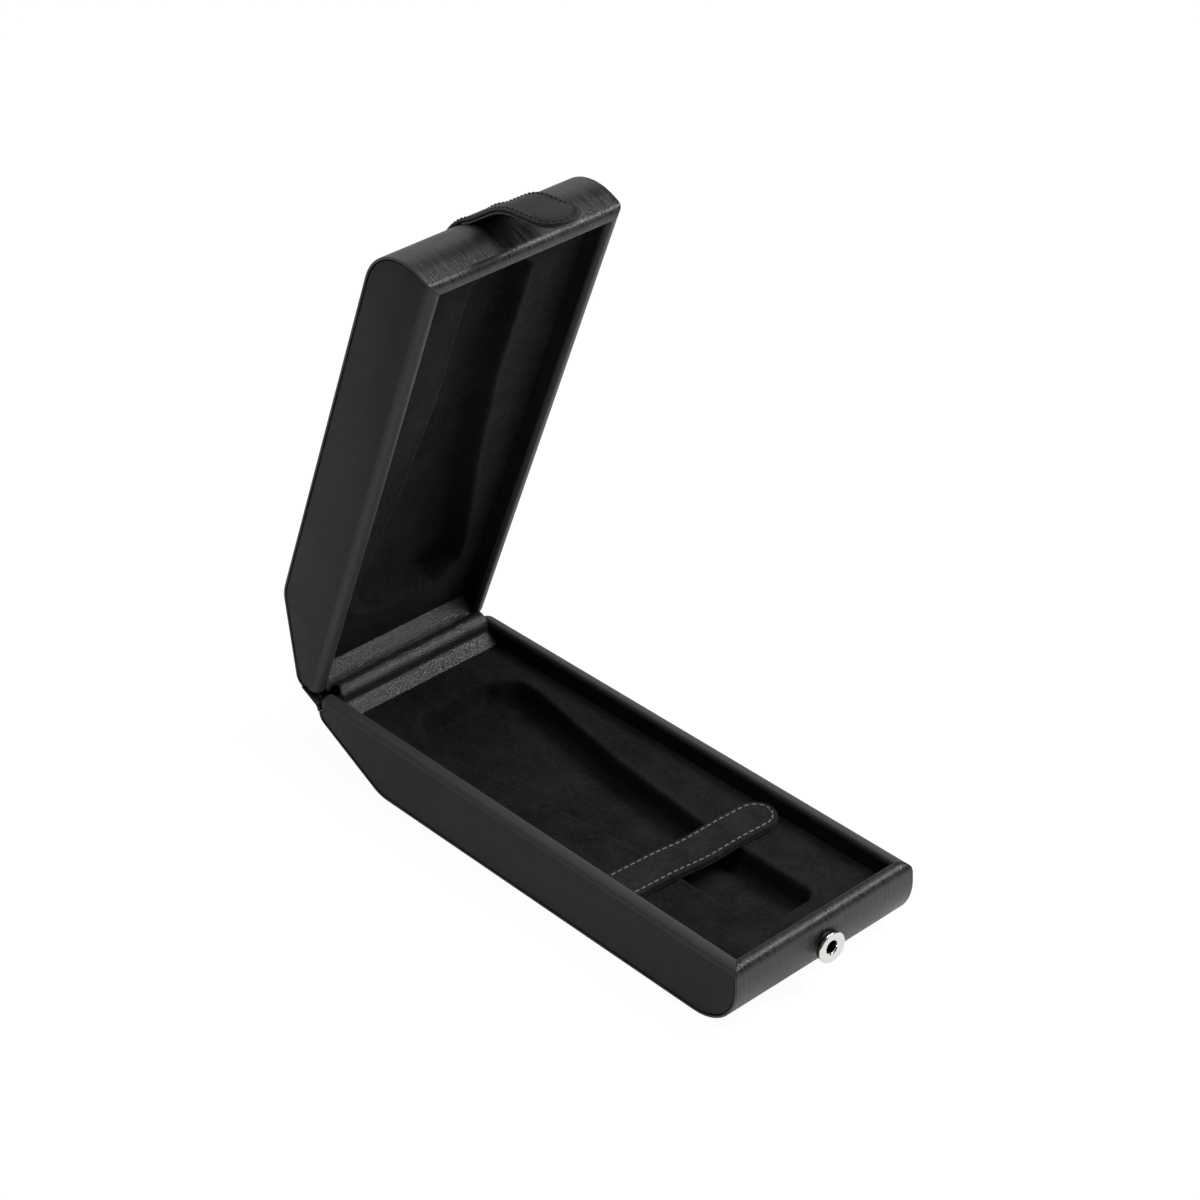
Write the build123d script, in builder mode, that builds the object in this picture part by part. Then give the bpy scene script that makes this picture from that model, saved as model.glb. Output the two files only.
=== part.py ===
"""Hinged leather case for one watch: two shallow trays joined along one short end by a leather
hinge, with a strap in the base tray, a closing tab on the lid and a press stud on the front wall.

Millimetres. X runs across the case, the front with the press stud faces -Y, the hinge is at +Y
and Z is up. The origin lies on the flat underside of the base, half way along the case.
"""
from math import cos, degrees, hypot, radians, sin, tan
import os

from build123d import *

# Both trays, measured as closed
case_width = 80.0
case_length = 224.0
tray_depth = 28.7
nose_run = 33.5
nose_height = 10.7
nose_tip_radius = 5.0
bend_radius = 4.5
end_radius = 22.0

# Leather, board and lining of the walls
leather = 0.9
board = 3.15
lining = 0.9
panel_inset = 0.3
board_seam = 2.0
glue_line = 0.05
rim_height = 2.4
rim_rounding = 1.9

# Padding with the watch-shaped recess
padding_drop = 8.0
suede = 0.8
recess_depth = 9.4
recess_start = 28.5
recess_end = case_length - 18.0
recess_start_half_width = 15.0
recess_head_half_width = 24.5
recess_head_start = 37.0
recess_head_end = 48.0
recess_shoulder = recess_end - 106.0
recess_shoulder_half_width = 16.5
recess_neck = recess_end - 58.0
recess_neck_half_width = 12.3
recess_corner_radius = 3.5

# Leather hinge
lid_angle = 63.7
hinge_inset = 2.4
hinge_drop = 3.7
rim_gap = 0.4
spine_radius = 2.6
spine_overlap = 7.6
roll_radius = 4.2
roll_leather = 1.2
roll_setback = 3.0
roll_height = tray_depth - 1.9
roll_leg = 1.6
hinge_strip_margin = 1.2
flap_leather = 1.2
base_flap_reach = 11.2
lid_flap_reach = 6.4
flap_top = tray_depth - 4.1

# Strap across the base tray
strap_width = 16.0
strap_layer = 1.25
strap_setback = case_length - 65.0
strap_skew = 3.4
strap_tip_margin = 1.4
strap_sag = 1.1
strap_sag_half_width = 14.0
strap_lift = 0.35
lining_clearance = 0.6

# Closing tab on the lid
tab_width = 17.0
tab_outer = 1.1
tab_lining = 0.9
tab_root_angle = 36.2
tab_root_length = 18.0
tab_root_gap = 0.5
tab_lower_lean = 55.0
tab_swing = 27.5
tab_bend_radius = 25.0
cap_radius = 6.7
cap_height = 1.0

# Press stud on the front wall and its post on the tab
stud_height = 16.9
stud_radius = 6.2
stud_flange = 0.9
stud_projection = 3.4
stud_neck_radius = 4.6
stud_bore_radius = 2.3
stud_bore_depth = 2.5
post_radius = 1.9
post_flange_radius = 4.2
post_flange = 0.6
post_clearance = 0.4

wall = panel_inset + leather + glue_line + board + lining
skin = leather + glue_line
core = skin + board
padding_top = tray_depth - padding_drop
board_top = tray_depth - rim_height - glue_line
half_width = case_width / 2
inner_half_width = half_width - wall
side_board_outer = half_width - panel_inset - leather - glue_line
side_board_inner = side_board_outer - board
slope_drop = tray_depth - nose_height
slope_length = hypot(nose_run, slope_drop)

# The base frame starts at the foot of the hinge end. Its first axis runs to the front and its
# third axis rises to the rim. The lid has the same frame, turned over and swung open.
hinge_height = tray_depth - hinge_drop
lean = radians(lid_angle)


def swing(run, rise):
    """Point of the closed lid, in run and height, after the lid swings open."""
    a = run - hinge_inset
    b = rise - hinge_height
    return (
        hinge_inset + a * cos(lean) - b * sin(lean),
        hinge_height + a * sin(lean) + b * cos(lean),
    )


def world(across, run, rise):
    return (across, case_length / 2 - run, rise)


lid_foot = swing(0, 2 * tray_depth + rim_gap)
base_frame = Plane(origin=world(0, 0, 0), x_dir=(0, -1, 0), z_dir=(0, 0, 1))
lid_frame = Plane(
    origin=world(0, *lid_foot),
    x_dir=(0, -cos(lean), sin(lean)),
    z_dir=(0, -sin(lean), -cos(lean)),
)


def side_plane(frame, offset=0.0):
    """Plane of a tray's side view: first axis to the front, second axis to the rim."""
    normal = frame.x_dir.cross(frame.z_dir)
    return Plane(origin=frame.origin, x_dir=frame.x_dir, z_dir=normal).offset(offset)


def save(piece, name):
    piece.label = name
    export_step(piece, "parts/" + name + ".step")


def shell_points(inset, start, end):
    """Corners of the tray's outside in side view, moved inwards, from hinge end to front."""
    reach = nose_run * slope_drop + inset * slope_length
    return [
        (inset, start),
        (inset, (reach - slope_drop * inset) / nose_run),
        ((reach - nose_run * inset) / slope_drop, inset),
        (case_length - inset, inset),
        (case_length - inset, end),
    ]


def shell_radii(inset):
    return [bend_radius - inset, bend_radius - inset, end_radius - inset]


def shell_band(outer, inner, start, end):
    """Closed outline between two depths of the tray's outside, for use in a sketch."""
    with BuildLine() as outline:
        a = FilletPolyline(*shell_points(outer, start, end), radius=shell_radii(outer))
        b = FilletPolyline(*shell_points(inner, start, end), radius=shell_radii(inner))
        Line(a @ 0, b @ 0)
        Line(a @ 1, b @ 1)
    make_face(outline.edges())


def side_face(inset, top, tip_radius, step):
    """Full side of a tray below its rim, with the rounded tip at the hinge end."""
    tip_level = tray_depth - nose_tip_radius
    with BuildLine() as outline:
        shell = FilletPolyline(*shell_points(inset, tip_level - step, top), radius=shell_radii(inset))
        tip = CenterArc((nose_tip_radius, tip_level), tip_radius, 90, 90)
        Line(tip @ 0, shell @ 1)
        Line(tip @ 1, (nose_tip_radius - tip_radius, tip_level - step))
        Line((nose_tip_radius - tip_radius, tip_level - step), shell @ 0)
    make_face(outline.edges())


def padding_face(inset, low, top):
    """Side view of the padding, which fills the tray between two levels."""
    points = shell_points(inset, tray_depth, tray_depth)
    with BuildLine() as outline:
        shell = FilletPolyline(*points, radius=shell_radii(inset))
        Line(shell @ 0, shell @ 1)
    make_face(outline.edges())
    with Locations((case_length / 2, low)):
        Rectangle(2 * case_length, top - low, align=(Align.CENTER, Align.MIN), mode=Mode.INTERSECT)


def recess_face(grow):
    """Plan of the watch-shaped recess, grown evenly by a skin."""
    half = [
        (recess_start, recess_start_half_width),
        (recess_head_start, recess_head_half_width),
        (recess_head_end, recess_head_half_width),
        (recess_shoulder, recess_shoulder_half_width),
        (recess_neck, recess_neck_half_width),
        (recess_end, recess_neck_half_width),
    ]
    corners = half + [(s, -t) for s, t in reversed(half)]
    with BuildSketch(Plane.XY, mode=Mode.PRIVATE) as plan:
        with BuildLine() as outline:
            Polyline(*corners, close=True)
        make_face(outline.edges())
        fillet(plan.vertices(), recess_corner_radius)
        if grow > 0:
            offset(amount=grow)
    add(plan.sketch_local)


def rim(frame, name):
    """Padded leather rim along both sides and the front wall, running down round the tips."""
    tip_level = tray_depth - nose_tip_radius
    low = tray_depth - rim_height
    with BuildPart() as piece:
        for side in (inner_half_width, -half_width):
            with BuildSketch(side_plane(frame, side)):
                with BuildLine():
                    outer = CenterArc((nose_tip_radius, tip_level), nose_tip_radius, 90, 90)
                    inner = CenterArc(
                        (nose_tip_radius, tip_level), nose_tip_radius - rim_height, 90, 90
                    )
                    Line(outer @ 1, inner @ 1)
                    Polyline(
                        outer @ 0,
                        (case_length, tray_depth),
                        (case_length, low),
                        inner @ 0,
                    )
                make_face()
            extrude(amount=wall)
        with BuildSketch(frame.offset(low)):
            with Locations((case_length, 0)):
                Rectangle(wall, case_width, align=(Align.MAX, Align.CENTER))
        extrude(amount=rim_height)
        up = frame.z_dir
        faces = [f for f in piece.faces() if f.normal_at(f.center()).dot(up) > 0.6]
        edges = ShapeList([e for f in faces for e in f.edges()])
        keep = []
        for edge in edges:
            spot = frame.to_local_coords(edge.center())
            inside_front = spot.X < case_length - wall + 0.1
            across = abs(abs(spot.Y) - inner_half_width) < 0.1 or abs(abs(spot.Y) - half_width) < 0.1
            front = abs(spot.X - case_length) < 0.1 or abs(spot.X - case_length + wall) < 0.1
            if front or (across and (inside_front or edge.length > wall)):
                keep.append(edge)
        fillet(ShapeList(keep), rim_rounding)
    save(piece.part, name)


def wrap(frame, name):
    """Outer leather strip: up the hinge end's slope, under the tray and up the front wall."""
    with BuildPart() as piece:
        with BuildSketch(side_plane(frame)):
            shell_band(0, leather, tray_depth - spine_overlap, board_top)
        extrude(amount=half_width, both=True)
    save(piece.part, name)


def shell_board(frame, name, run_from, run_to, low, high, half_span=side_board_inner - glue_line):
    """Stiff board under the outer leather, one stretch of the tray's outside."""
    with BuildPart() as piece:
        with BuildSketch(side_plane(frame)):
            shell_band(skin, core, flap_top - glue_line, board_top)
            with Locations(((run_from + run_to) / 2, (low + high) / 2)):
                Rectangle(run_to - run_from, high - low, mode=Mode.INTERSECT)
        extrude(amount=half_span, both=True)
    save(piece.part, name)


def side_board(frame, name, side):
    """Stiff board of a side wall. Side is +1 or -1 along the frame's side view normal."""
    start = side_board_inner if side > 0 else -side_board_outer
    with BuildPart() as piece:
        with BuildSketch(side_plane(frame, start)):
            side_face(skin, board_top, nose_tip_radius - rim_height - glue_line, glue_line)
        extrude(amount=board)
    save(piece.part, name)


def side_panel(frame, name, side):
    """Smooth leather panel on the outside of a side wall, framed by the strip's cut edge."""
    start = side_board_outer + glue_line if side > 0 else -(half_width - panel_inset)
    inset = leather + panel_inset
    step = panel_inset
    with BuildPart() as piece:
        with BuildSketch(side_plane(frame, start)):
            side_face(inset, tray_depth - rim_height - step, nose_tip_radius - rim_height - step, step)
        extrude(amount=leather)
    save(piece.part, name)


def wall_lining(frame, name):
    """Suede on the inside of both side walls and the front wall, above the padding."""
    low = padding_top + glue_line
    front = case_length - core - glue_line
    outer = side_board_inner - glue_line
    start = nose_tip_radius
    with BuildPart() as piece:
        with BuildSketch(frame.offset(low)):
            with BuildLine():
                Polyline(
                    (start, outer),
                    (front, outer),
                    (front, -outer),
                    (start, -outer),
                    (start, -outer + lining),
                    (front - lining, -outer + lining),
                    (front - lining, outer - lining),
                    (start, outer - lining),
                    close=True,
                )
            make_face()
        extrude(amount=board_top - low)
    save(piece.part, name)


def padding(frame, foam_name, suede_name):
    """Foam block with a watch-shaped recess, and the suede that covers it."""
    floor = padding_top - recess_depth
    span = side_board_inner - glue_line
    with BuildPart() as foam:
        with BuildSketch(side_plane(frame)):
            padding_face(core + glue_line, 0, padding_top - suede - glue_line)
        extrude(amount=span, both=True)
        with BuildSketch(frame.offset(floor - suede - glue_line)):
            recess_face(suede + glue_line)
        extrude(amount=recess_depth + suede, mode=Mode.SUBTRACT)
    save(foam.part, foam_name)
    with BuildPart() as cover:
        with BuildSketch(side_plane(frame)):
            padding_face(core + glue_line, padding_top - suede, padding_top)
        extrude(amount=span, both=True)
        with BuildSketch(frame.offset(floor - suede)):
            recess_face(suede)
        extrude(amount=recess_depth)
        with BuildSketch(frame.offset(floor)):
            recess_face(0)
        extrude(amount=recess_depth, mode=Mode.SUBTRACT)
    save(cover.part, suede_name)


def tray(frame, name, left):
    """All pieces of one tray. Left is the sign of the side view normal on the -X side."""
    front = case_length + 1
    slope_top = shell_points(skin, 0, 0)[1][1]
    wrap(frame, name + "_outer_leather")
    rim(frame, name + "_rim")
    seam = nose_run + board_seam
    bend = case_length - end_radius
    narrow = inner_half_width - glue_line
    shell_board(frame, name + "_nose_board", 0, core, slope_top + glue_line, tray_depth, narrow)
    shell_board(frame, name + "_slope_board", 0, seam, 0, slope_top)
    shell_board(frame, name + "_floor_board", seam + glue_line, bend, 0, core)
    shell_board(frame, name + "_front_board", bend + glue_line, front, 0, tray_depth)
    side_board(frame, name + "_left_board", left)
    side_board(frame, name + "_right_board", -left)
    side_panel(frame, name + "_left_panel", left)
    side_panel(frame, name + "_right_panel", -left)
    wall_lining(frame, name + "_wall_lining")
    padding(frame, name + "_foam", name + "_suede")


def band(points, radii, low, high):
    """Closed strip along a bent line, between two offsets to its left, for use in a sketch."""
    rows = []
    for shift in (low, high):
        moved = []
        for i, (x, y) in enumerate(points):
            ahead = points[min(i + 1, len(points) - 1)]
            behind = points[max(i - 1, 0)]
            here = (x, y)
            first = here if i == 0 else behind
            second = ahead if i == 0 else here
            third = here if i == len(points) - 1 else ahead
            d1 = direction(first, second)
            d2 = direction(here, third) if third != here else d1
            bisector = (-(d1[1] + d2[1]), d1[0] + d2[0])
            size = hypot(*bisector)
            unit = (bisector[0] / size, bisector[1] / size)
            spread = unit[0] * -d1[1] + unit[1] * d1[0]
            moved.append((x + unit[0] * shift / spread, y + unit[1] * shift / spread))
        rows.append(moved)
    turns = []
    for i in range(1, len(points) - 1):
        d1 = direction(points[i - 1], points[i])
        d2 = direction(points[i], points[i + 1])
        turns.append(1 if d1[0] * d2[1] - d1[1] * d2[0] > 0 else -1)
    with BuildLine() as outline:
        ends = []
        for moved, shift in zip(rows, (low, high)):
            if len(points) > 2:
                bends = [r - turn * shift for r, turn in zip(radii, turns)]
                path = FilletPolyline(*moved, radius=bends)
            else:
                path = Line(*moved)
            ends.append((path @ 0, path @ 1))
        Line(ends[0][0], ends[1][0])
        Line(ends[0][1], ends[1][1])
    make_face(outline.edges())


def direction(a, b):
    size = hypot(b[0] - a[0], b[1] - a[1])
    return ((b[0] - a[0]) / size, (b[1] - a[1]) / size)


def hinge():
    """Outer spine, inner roll and the two flaps of the leather hinge."""
    half_strip = inner_half_width - hinge_strip_margin
    spine_start = tray_depth - spine_overlap + glue_line
    # The spine leaves the base straight up and joins the lid along the lid's own nose.
    lid_end = swing(0, tray_depth + rim_gap + spine_overlap - glue_line)
    rise = (sin(lean), -cos(lean))
    run_back = lid_end[0] / rise[0]
    corner = (0.0, lid_end[1] - rise[1] * run_back)
    with BuildPart() as spine:
        with BuildSketch(side_plane(base_frame)):
            band([(0.0, spine_start), corner, lid_end], [spine_radius], -leather, 0)
        extrude(amount=inner_half_width, both=True)
    save(spine.part, "spine_leather")

    with BuildPart() as roll:
        with BuildSketch(side_plane(base_frame)):
            with BuildLine():
                outer = CenterArc((roll_setback, roll_height), roll_radius, 0, 180)
                inner = CenterArc((roll_setback, roll_height), roll_radius - roll_leather, 0, 180)
                foot = roll_height - roll_leg
                for arc_end, arc_other in ((outer @ 0, inner @ 0), (outer @ 1, inner @ 1)):
                    Polyline(arc_end, (arc_end.X, foot), (arc_other.X, foot), arc_other)
            make_face()
        extrude(amount=half_strip, both=True)
    save(roll.part, "hinge_roll")

    for frame, name, reach in (
        (base_frame, "base_flap", base_flap_reach),
        (lid_frame, "lid_flap", lid_flap_reach),
    ):
        with BuildPart() as flap:
            with BuildSketch(side_plane(frame)):
                with BuildLine():
                    Polyline(
                        (skin, flap_top),
                        (core, flap_top),
                        (reach, padding_top + glue_line),
                        (reach + flap_leather, padding_top + glue_line + flap_leather / 4),
                        (core + flap_leather / 2, flap_top + flap_leather),
                        (skin, flap_top + flap_leather),
                        close=True,
                    )
                make_face()
            extrude(amount=half_strip, both=True)
        save(flap.part, name)


def strap():
    """Two layers of suede, sewn together, rooted at the left wall and round at the free end."""
    skew = radians(strap_skew)
    low = padding_top + strap_lift
    root_x = -inner_half_width + lining_clearance + strap_width / 2 * sin(skew)
    tip_x = inner_half_width - strap_tip_margin
    length = (tip_x - root_x) / cos(skew)
    middle = -root_x / cos(skew)
    along = (cos(skew), -sin(skew), 0)
    across = (-sin(skew), -cos(skew), 0)
    origin = world(root_x, strap_setback, low)
    profile = Plane(origin=origin, x_dir=along, z_dir=across)
    plan = Plane(origin=origin, x_dir=along, z_dir=(0, 0, 1))
    line = [
        (0, 0),
        (middle - strap_sag_half_width, 0),
        (middle, -strap_sag),
        (middle + strap_sag_half_width, 0),
        (length, 0),
    ]
    radius = 0.45 * strap_sag_half_width / tan(strap_sag / strap_sag_half_width)
    for name, start in (("strap_lining", 0), ("strap_suede", strap_layer + glue_line)):
        with BuildPart() as layer:
            with BuildSketch(profile):
                band(line, [radius] * 3, start, start + strap_layer)
            extrude(amount=strap_width / 2, both=True)
            with BuildSketch(plan.offset(-2 * strap_layer)):
                with Locations(((length - strap_width / 2) / 2, 0)):
                    Rectangle(length - strap_width / 2, strap_width)
                with Locations((length - strap_width / 2, 0)):
                    Circle(strap_width / 2)
            extrude(amount=6 * strap_layer, mode=Mode.INTERSECT)
        save(layer.part, name)


# Line of the tab's outside in the lid's side view. It starts at the crease beside the fixed root.
# With the lid closed and the tab swung down by tab_swing, the covered cap lies over the stud.
tab_layers = tab_outer + tab_lining + glue_line
lower = radians(tab_lower_lean)
upper = radians(tab_swing)
root = radians(tab_root_angle)
crease_radius = end_radius + tab_layers + tab_root_gap
tab_start = (
    case_length - end_radius + crease_radius * cos(root),
    end_radius - crease_radius * sin(root),
)
closed_reach = (
    case_length + stud_projection + post_flange + post_clearance + tab_layers - tab_start[0],
    2 * tray_depth + rim_gap - stud_height - tab_start[1],
)
reach = (
    closed_reach[0] * cos(upper) + closed_reach[1] * sin(upper),
    closed_reach[1] * cos(upper) - closed_reach[0] * sin(upper),
)
spread = sin(lower) * cos(upper) - sin(upper) * cos(lower)
tab_lower_length = (reach[0] * cos(upper) - reach[1] * sin(upper)) / spread
tab_bend = (
    tab_start[0] + tab_lower_length * sin(lower),
    tab_start[1] + tab_lower_length * cos(lower),
)
cap_centre = (tab_start[0] + reach[0], tab_start[1] + reach[1])
tab_tip = (
    cap_centre[0] + tab_width / 2 * sin(upper),
    cap_centre[1] + tab_width / 2 * cos(upper),
)
side = side_plane(lid_frame)
cap_plane = Plane(
    origin=side.from_local_coords((cap_centre[0], cap_centre[1], 0)),
    x_dir=side.from_local_coords((tab_tip[0], tab_tip[1], 0))
    - side.from_local_coords((cap_centre[0], cap_centre[1], 0)),
    z_dir=side.from_local_coords((cos(upper), -sin(upper), 0)) - side.origin,
)


def tab():
    """Closing tab: leather outside, lining inside, a covered snap cap and its post."""
    line = [tab_start, tab_bend, tab_tip]
    for name, low, high in (
        ("tab_leather", 0, tab_outer),
        ("tab_lining", tab_outer + glue_line, tab_layers),
    ):
        with BuildPart() as layer:
            with BuildSketch(side):
                band(line, [tab_bend_radius], low, high)
            extrude(amount=tab_width / 2, both=True)
            with BuildSketch(cap_plane.offset(-tab_lower_length)):
                with Locations((-case_width, 0)):
                    Rectangle(2 * case_width, tab_width)
                Circle(tab_width / 2)
            extrude(amount=2 * tab_lower_length, mode=Mode.INTERSECT)
        save(layer.part, name)

    with BuildPart() as cap:
        with BuildSketch(cap_plane.offset(glue_line)):
            Circle(cap_radius)
        extrude(amount=cap_height)
        fillet(cap.faces().sort_by(Axis(cap_plane.origin, cap_plane.z_dir))[-1].edges(), cap_height * 0.7)
    save(cap.part, "tab_snap_cap")

    inside = cap_plane.offset(-tab_layers)
    with BuildPart() as post:
        with BuildSketch(inside):
            Circle(post_flange_radius)
        extrude(amount=-post_flange)
        with BuildSketch(inside.offset(-post_flange)):
            Circle(post_radius)
        extrude(amount=-stud_bore_depth)
    save(post.part, "tab_snap_post")

    # Fixed root of the tab, sewn to the lid's back and bent round its rounded end.
    arc = 90 - tab_root_angle - degrees(tab_root_gap / end_radius)
    with BuildPart() as anchor:
        with BuildSketch(side):
            centre = (case_length - end_radius, end_radius)
            with BuildLine():
                inner = CenterArc(centre, end_radius + glue_line, -90, arc)
                outer = CenterArc(centre, end_radius + glue_line + tab_layers, -90, arc)
                Line(inner @ 1, outer @ 1)
                Polyline(
                    inner @ 0,
                    (centre[0] - tab_root_length, -glue_line),
                    (centre[0] - tab_root_length, -glue_line - tab_layers),
                    outer @ 0,
                )
            make_face()
        extrude(amount=tab_width / 2, both=True)
    save(anchor.part, "tab_root")


def stud():
    """Nickel press stud on the front wall, with the bore that takes the tab's post."""
    centre = world(0, case_length + glue_line, stud_height)
    face = Plane(origin=centre, x_dir=(1, 0, 0), z_dir=(0, -1, 0))
    with BuildPart() as piece:
        with BuildSketch(face):
            Circle(stud_radius)
        extrude(amount=stud_flange)
        with BuildSketch(face.offset(stud_flange)):
            Circle(stud_neck_radius)
        extrude(amount=stud_projection - 2 * stud_flange)
        with BuildSketch(face.offset(stud_projection - stud_flange)):
            Circle(stud_radius)
        extrude(amount=stud_flange)
        rounded = piece.edges().filter_by(GeomType.CIRCLE).filter_by(
            lambda e: abs(e.radius - stud_radius) < 0.01
        )
        fillet(rounded, stud_flange * 0.4)
        with BuildSketch(face.offset(stud_projection - stud_bore_depth)):
            Circle(stud_bore_radius)
        extrude(amount=stud_bore_depth + 1, mode=Mode.SUBTRACT)
    save(piece.part, "front_stud")


if __name__ == "__main__":
    os.makedirs("parts", exist_ok=True)
    tray(base_frame, "base", 1)
    tray(lid_frame, "lid", -1)
    hinge()
    strap()
    tab()
    stud()
    print("tab start", tab_start, "bend", tab_bend, "cap", cap_centre, "tip", tab_tip)
    print("lid foot", lid_foot)
    print("tab crease", swing(tab_start[0], 2 * tray_depth + rim_gap - tab_start[1]))
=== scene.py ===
"""Leather watch case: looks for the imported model, laid out as an add-on and run as a script."""
import math
import random

import bmesh
import bpy
import numpy as np
from bpy.props import FloatProperty, FloatVectorProperty, PointerProperty
from mathutils import Matrix, Vector


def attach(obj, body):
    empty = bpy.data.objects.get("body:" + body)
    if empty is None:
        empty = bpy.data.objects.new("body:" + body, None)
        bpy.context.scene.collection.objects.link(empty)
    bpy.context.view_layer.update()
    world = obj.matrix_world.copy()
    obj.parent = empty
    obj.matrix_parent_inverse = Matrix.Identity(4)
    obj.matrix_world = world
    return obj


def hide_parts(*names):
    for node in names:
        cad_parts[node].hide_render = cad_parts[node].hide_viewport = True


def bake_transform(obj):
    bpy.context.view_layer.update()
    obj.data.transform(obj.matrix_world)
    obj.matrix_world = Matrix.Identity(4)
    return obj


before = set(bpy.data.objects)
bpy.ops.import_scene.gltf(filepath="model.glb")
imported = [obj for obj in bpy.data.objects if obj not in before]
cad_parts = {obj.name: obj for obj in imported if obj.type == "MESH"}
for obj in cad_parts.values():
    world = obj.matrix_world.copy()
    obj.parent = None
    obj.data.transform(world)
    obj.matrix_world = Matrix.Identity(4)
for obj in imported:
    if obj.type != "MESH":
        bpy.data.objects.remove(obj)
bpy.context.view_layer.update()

bl_info = {
    "name": "Leather watch case",
    "version": (1, 0, 0),
    "blender": (4, 5, 0),
    "location": "View3D > Sidebar > Watch case",
    "description": "Leather, suede, stitching and snap fittings of a hinged case for one watch",
    "category": "Object",
}

MM = 0.001

# Trays, in millimetres as in the model. Run goes from the nose at the hinge to the front wall.
WIDTH = 80.0
LENGTH = 224.0
DEPTH = 28.7
NOSE_RUN = 33.5
NOSE_HEIGHT = 10.7
TIP_RADIUS = 5.0
BEND_RADIUS = 4.5
FLOOR_BEND = 16.0
END_RADIUS = 22.0
WALL = 5.05
RIM_HEIGHT = 2.4
LEATHER = 0.9
PANEL_INSET = 0.3
HALF = WIDTH / 2
INNER = HALF - WALL
RIM_FOOT = DEPTH - RIM_HEIGHT

# Padding with its recess, as run and half width
PAD_TOP = DEPTH - 8.0
PAD_START = 5.2
PAD_END = LENGTH - 4.3
PAD_EDGE = HALF - 4.55
RECESS_DEPTH = 9.4
RECESS = [(28.5, 15.0), (37.0, 24.5), (48.0, 24.5), (100.0, 16.5), (148.0, 12.3), (206.0, 12.3)]
RECESS_RADII = [5.0, 7.0, 12.0, 60.0, 60.0, 4.5]

# Lid and hinge
LID_ANGLE = math.radians(63.7)
HINGE_RUN = 2.4
HINGE_HEIGHT = DEPTH - 3.7
RIM_GAP = 0.4
CLOSED_HEIGHT = 2 * DEPTH + RIM_GAP
SPINE_OVERLAP = 7.6
SPINE_START = DEPTH - SPINE_OVERLAP
SPINE_BEND = 2.6
ROLL_RUN = 3.3
ROLL_HEIGHT = 27.1

# Strap over the recess
STRAP_RUN = LENGTH - 65.0
STRAP_SKEW = math.radians(3.4)
STRAP_WIDTH = 16.0
STRAP_LAYER = 1.25
STRAP_SEAM = 0.05
STRAP_LIFT = 0.35
STRAP_SAG = 1.1
STRAP_SAG_HALF = 14.0
STRAP_ROOT_GAP = 0.6
STRAP_TIP_GAP = 1.4
STRAP_BENT = 24.0

# Press stud and closing tab
STUD_HEIGHT = 16.9
CAP_STANDOFF = 6.45
TAB_WIDTH = 17.0
TAB_ROOT = 18.0
TAB_ROOT_ANGLE = math.radians(36.2)
TAB_CREASE_RADIUS = END_RADIUS + 2.55
TAB_LOWER_LEAN = math.radians(55.0)
TAB_LEAN = math.radians(27.5)
TAB_BEND_RADIUS = 25.0
TAB_STITCH_INSET = 1.5
TAB_STITCH_PITCH = 2.3


def swing(run, rise):
    """Side view point of the closed lid after it swings open to rest."""
    a = run - HINGE_RUN
    b = rise - HINGE_HEIGHT
    c, s = math.cos(LID_ANGLE), math.sin(LID_ANGLE)
    return HINGE_RUN + a * c - b * s, HINGE_HEIGHT + a * s + b * c


def in_base(across, run, rise):
    """Place in the scene of a point of the base tray."""
    return Vector((across, LENGTH / 2 - run, rise)) * MM


def in_lid(across, run, rise):
    """Place in the scene of a point of the lid tray, measured from the lid's own outside."""
    return in_base(across, *swing(run, CLOSED_HEIGHT - rise))


TRAYS = {"base": in_base, "lid": in_lid}
SIDES = {"left": -1, "right": 1}


# Lines


def rounded(points, radii, closed=False, step=1.0):
    """Points along a bent line whose corners are rounded. A radius of 0 keeps a corner."""
    out = []
    count = len(points)
    for i, point in enumerate(points):
        p = np.array(point, float)
        if not closed and i in (0, count - 1):
            out.append(p)
            continue
        radius = radii[i]
        a = np.array(points[i - 1], float) - p
        b = np.array(points[(i + 1) % count], float) - p
        a /= np.linalg.norm(a)
        b /= np.linalg.norm(b)
        half = math.acos(max(-1, min(1, float(a @ b)))) / 2
        if radius <= 0 or half > math.pi / 2 - 1e-4:
            out.append(p)
            continue
        reach = radius / math.tan(half)
        start, end = p + a * reach, p + b * reach
        middle = p + (a + b) / np.linalg.norm(a + b) * radius / math.sin(half)
        turns = max(3, int(radius * (math.pi - 2 * half) / step) + 1)
        u, v = start - middle, end - middle
        angle = math.acos(max(-1, min(1, float(u @ v) / radius**2)))
        for t in np.linspace(0, 1, turns + 1):
            spoke = u * math.sin((1 - t) * angle) + v * math.sin(t * angle)
            out.append(middle + spoke / math.sin(angle))
    return np.array(out)


def resample(line, step):
    """The same line with points an even step apart."""
    line = np.asarray(line, float)
    gaps = np.linalg.norm(np.diff(line, axis=0), axis=1)
    along = np.concatenate([[0], np.cumsum(gaps)])
    count = max(2, int(round(along[-1] / step)) + 1)
    spots = np.linspace(0, along[-1], count)
    return np.stack([np.interp(spots, along, line[:, k]) for k in range(line.shape[1])], 1)


def resample_ring(ring, step):
    """A closed line with points an even step apart, its first point not repeated."""
    return resample(np.vstack([ring, ring[:1]]), step)[:-1]


def softened(line, rounds):
    """A line whose corners are eased over a few points, with its ends kept."""
    out = line.copy()
    for _ in range(rounds):
        out[1:-1] = (out[:-2] + 2 * out[1:-1] + out[2:]) / 4
    return out


def left_normals(line):
    """Unit normals to the left of a side view line."""
    way = np.gradient(line, axis=0)
    way /= np.linalg.norm(way, axis=1)[:, None]
    return np.stack([-way[:, 1], way[:, 0]], 1)


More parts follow.
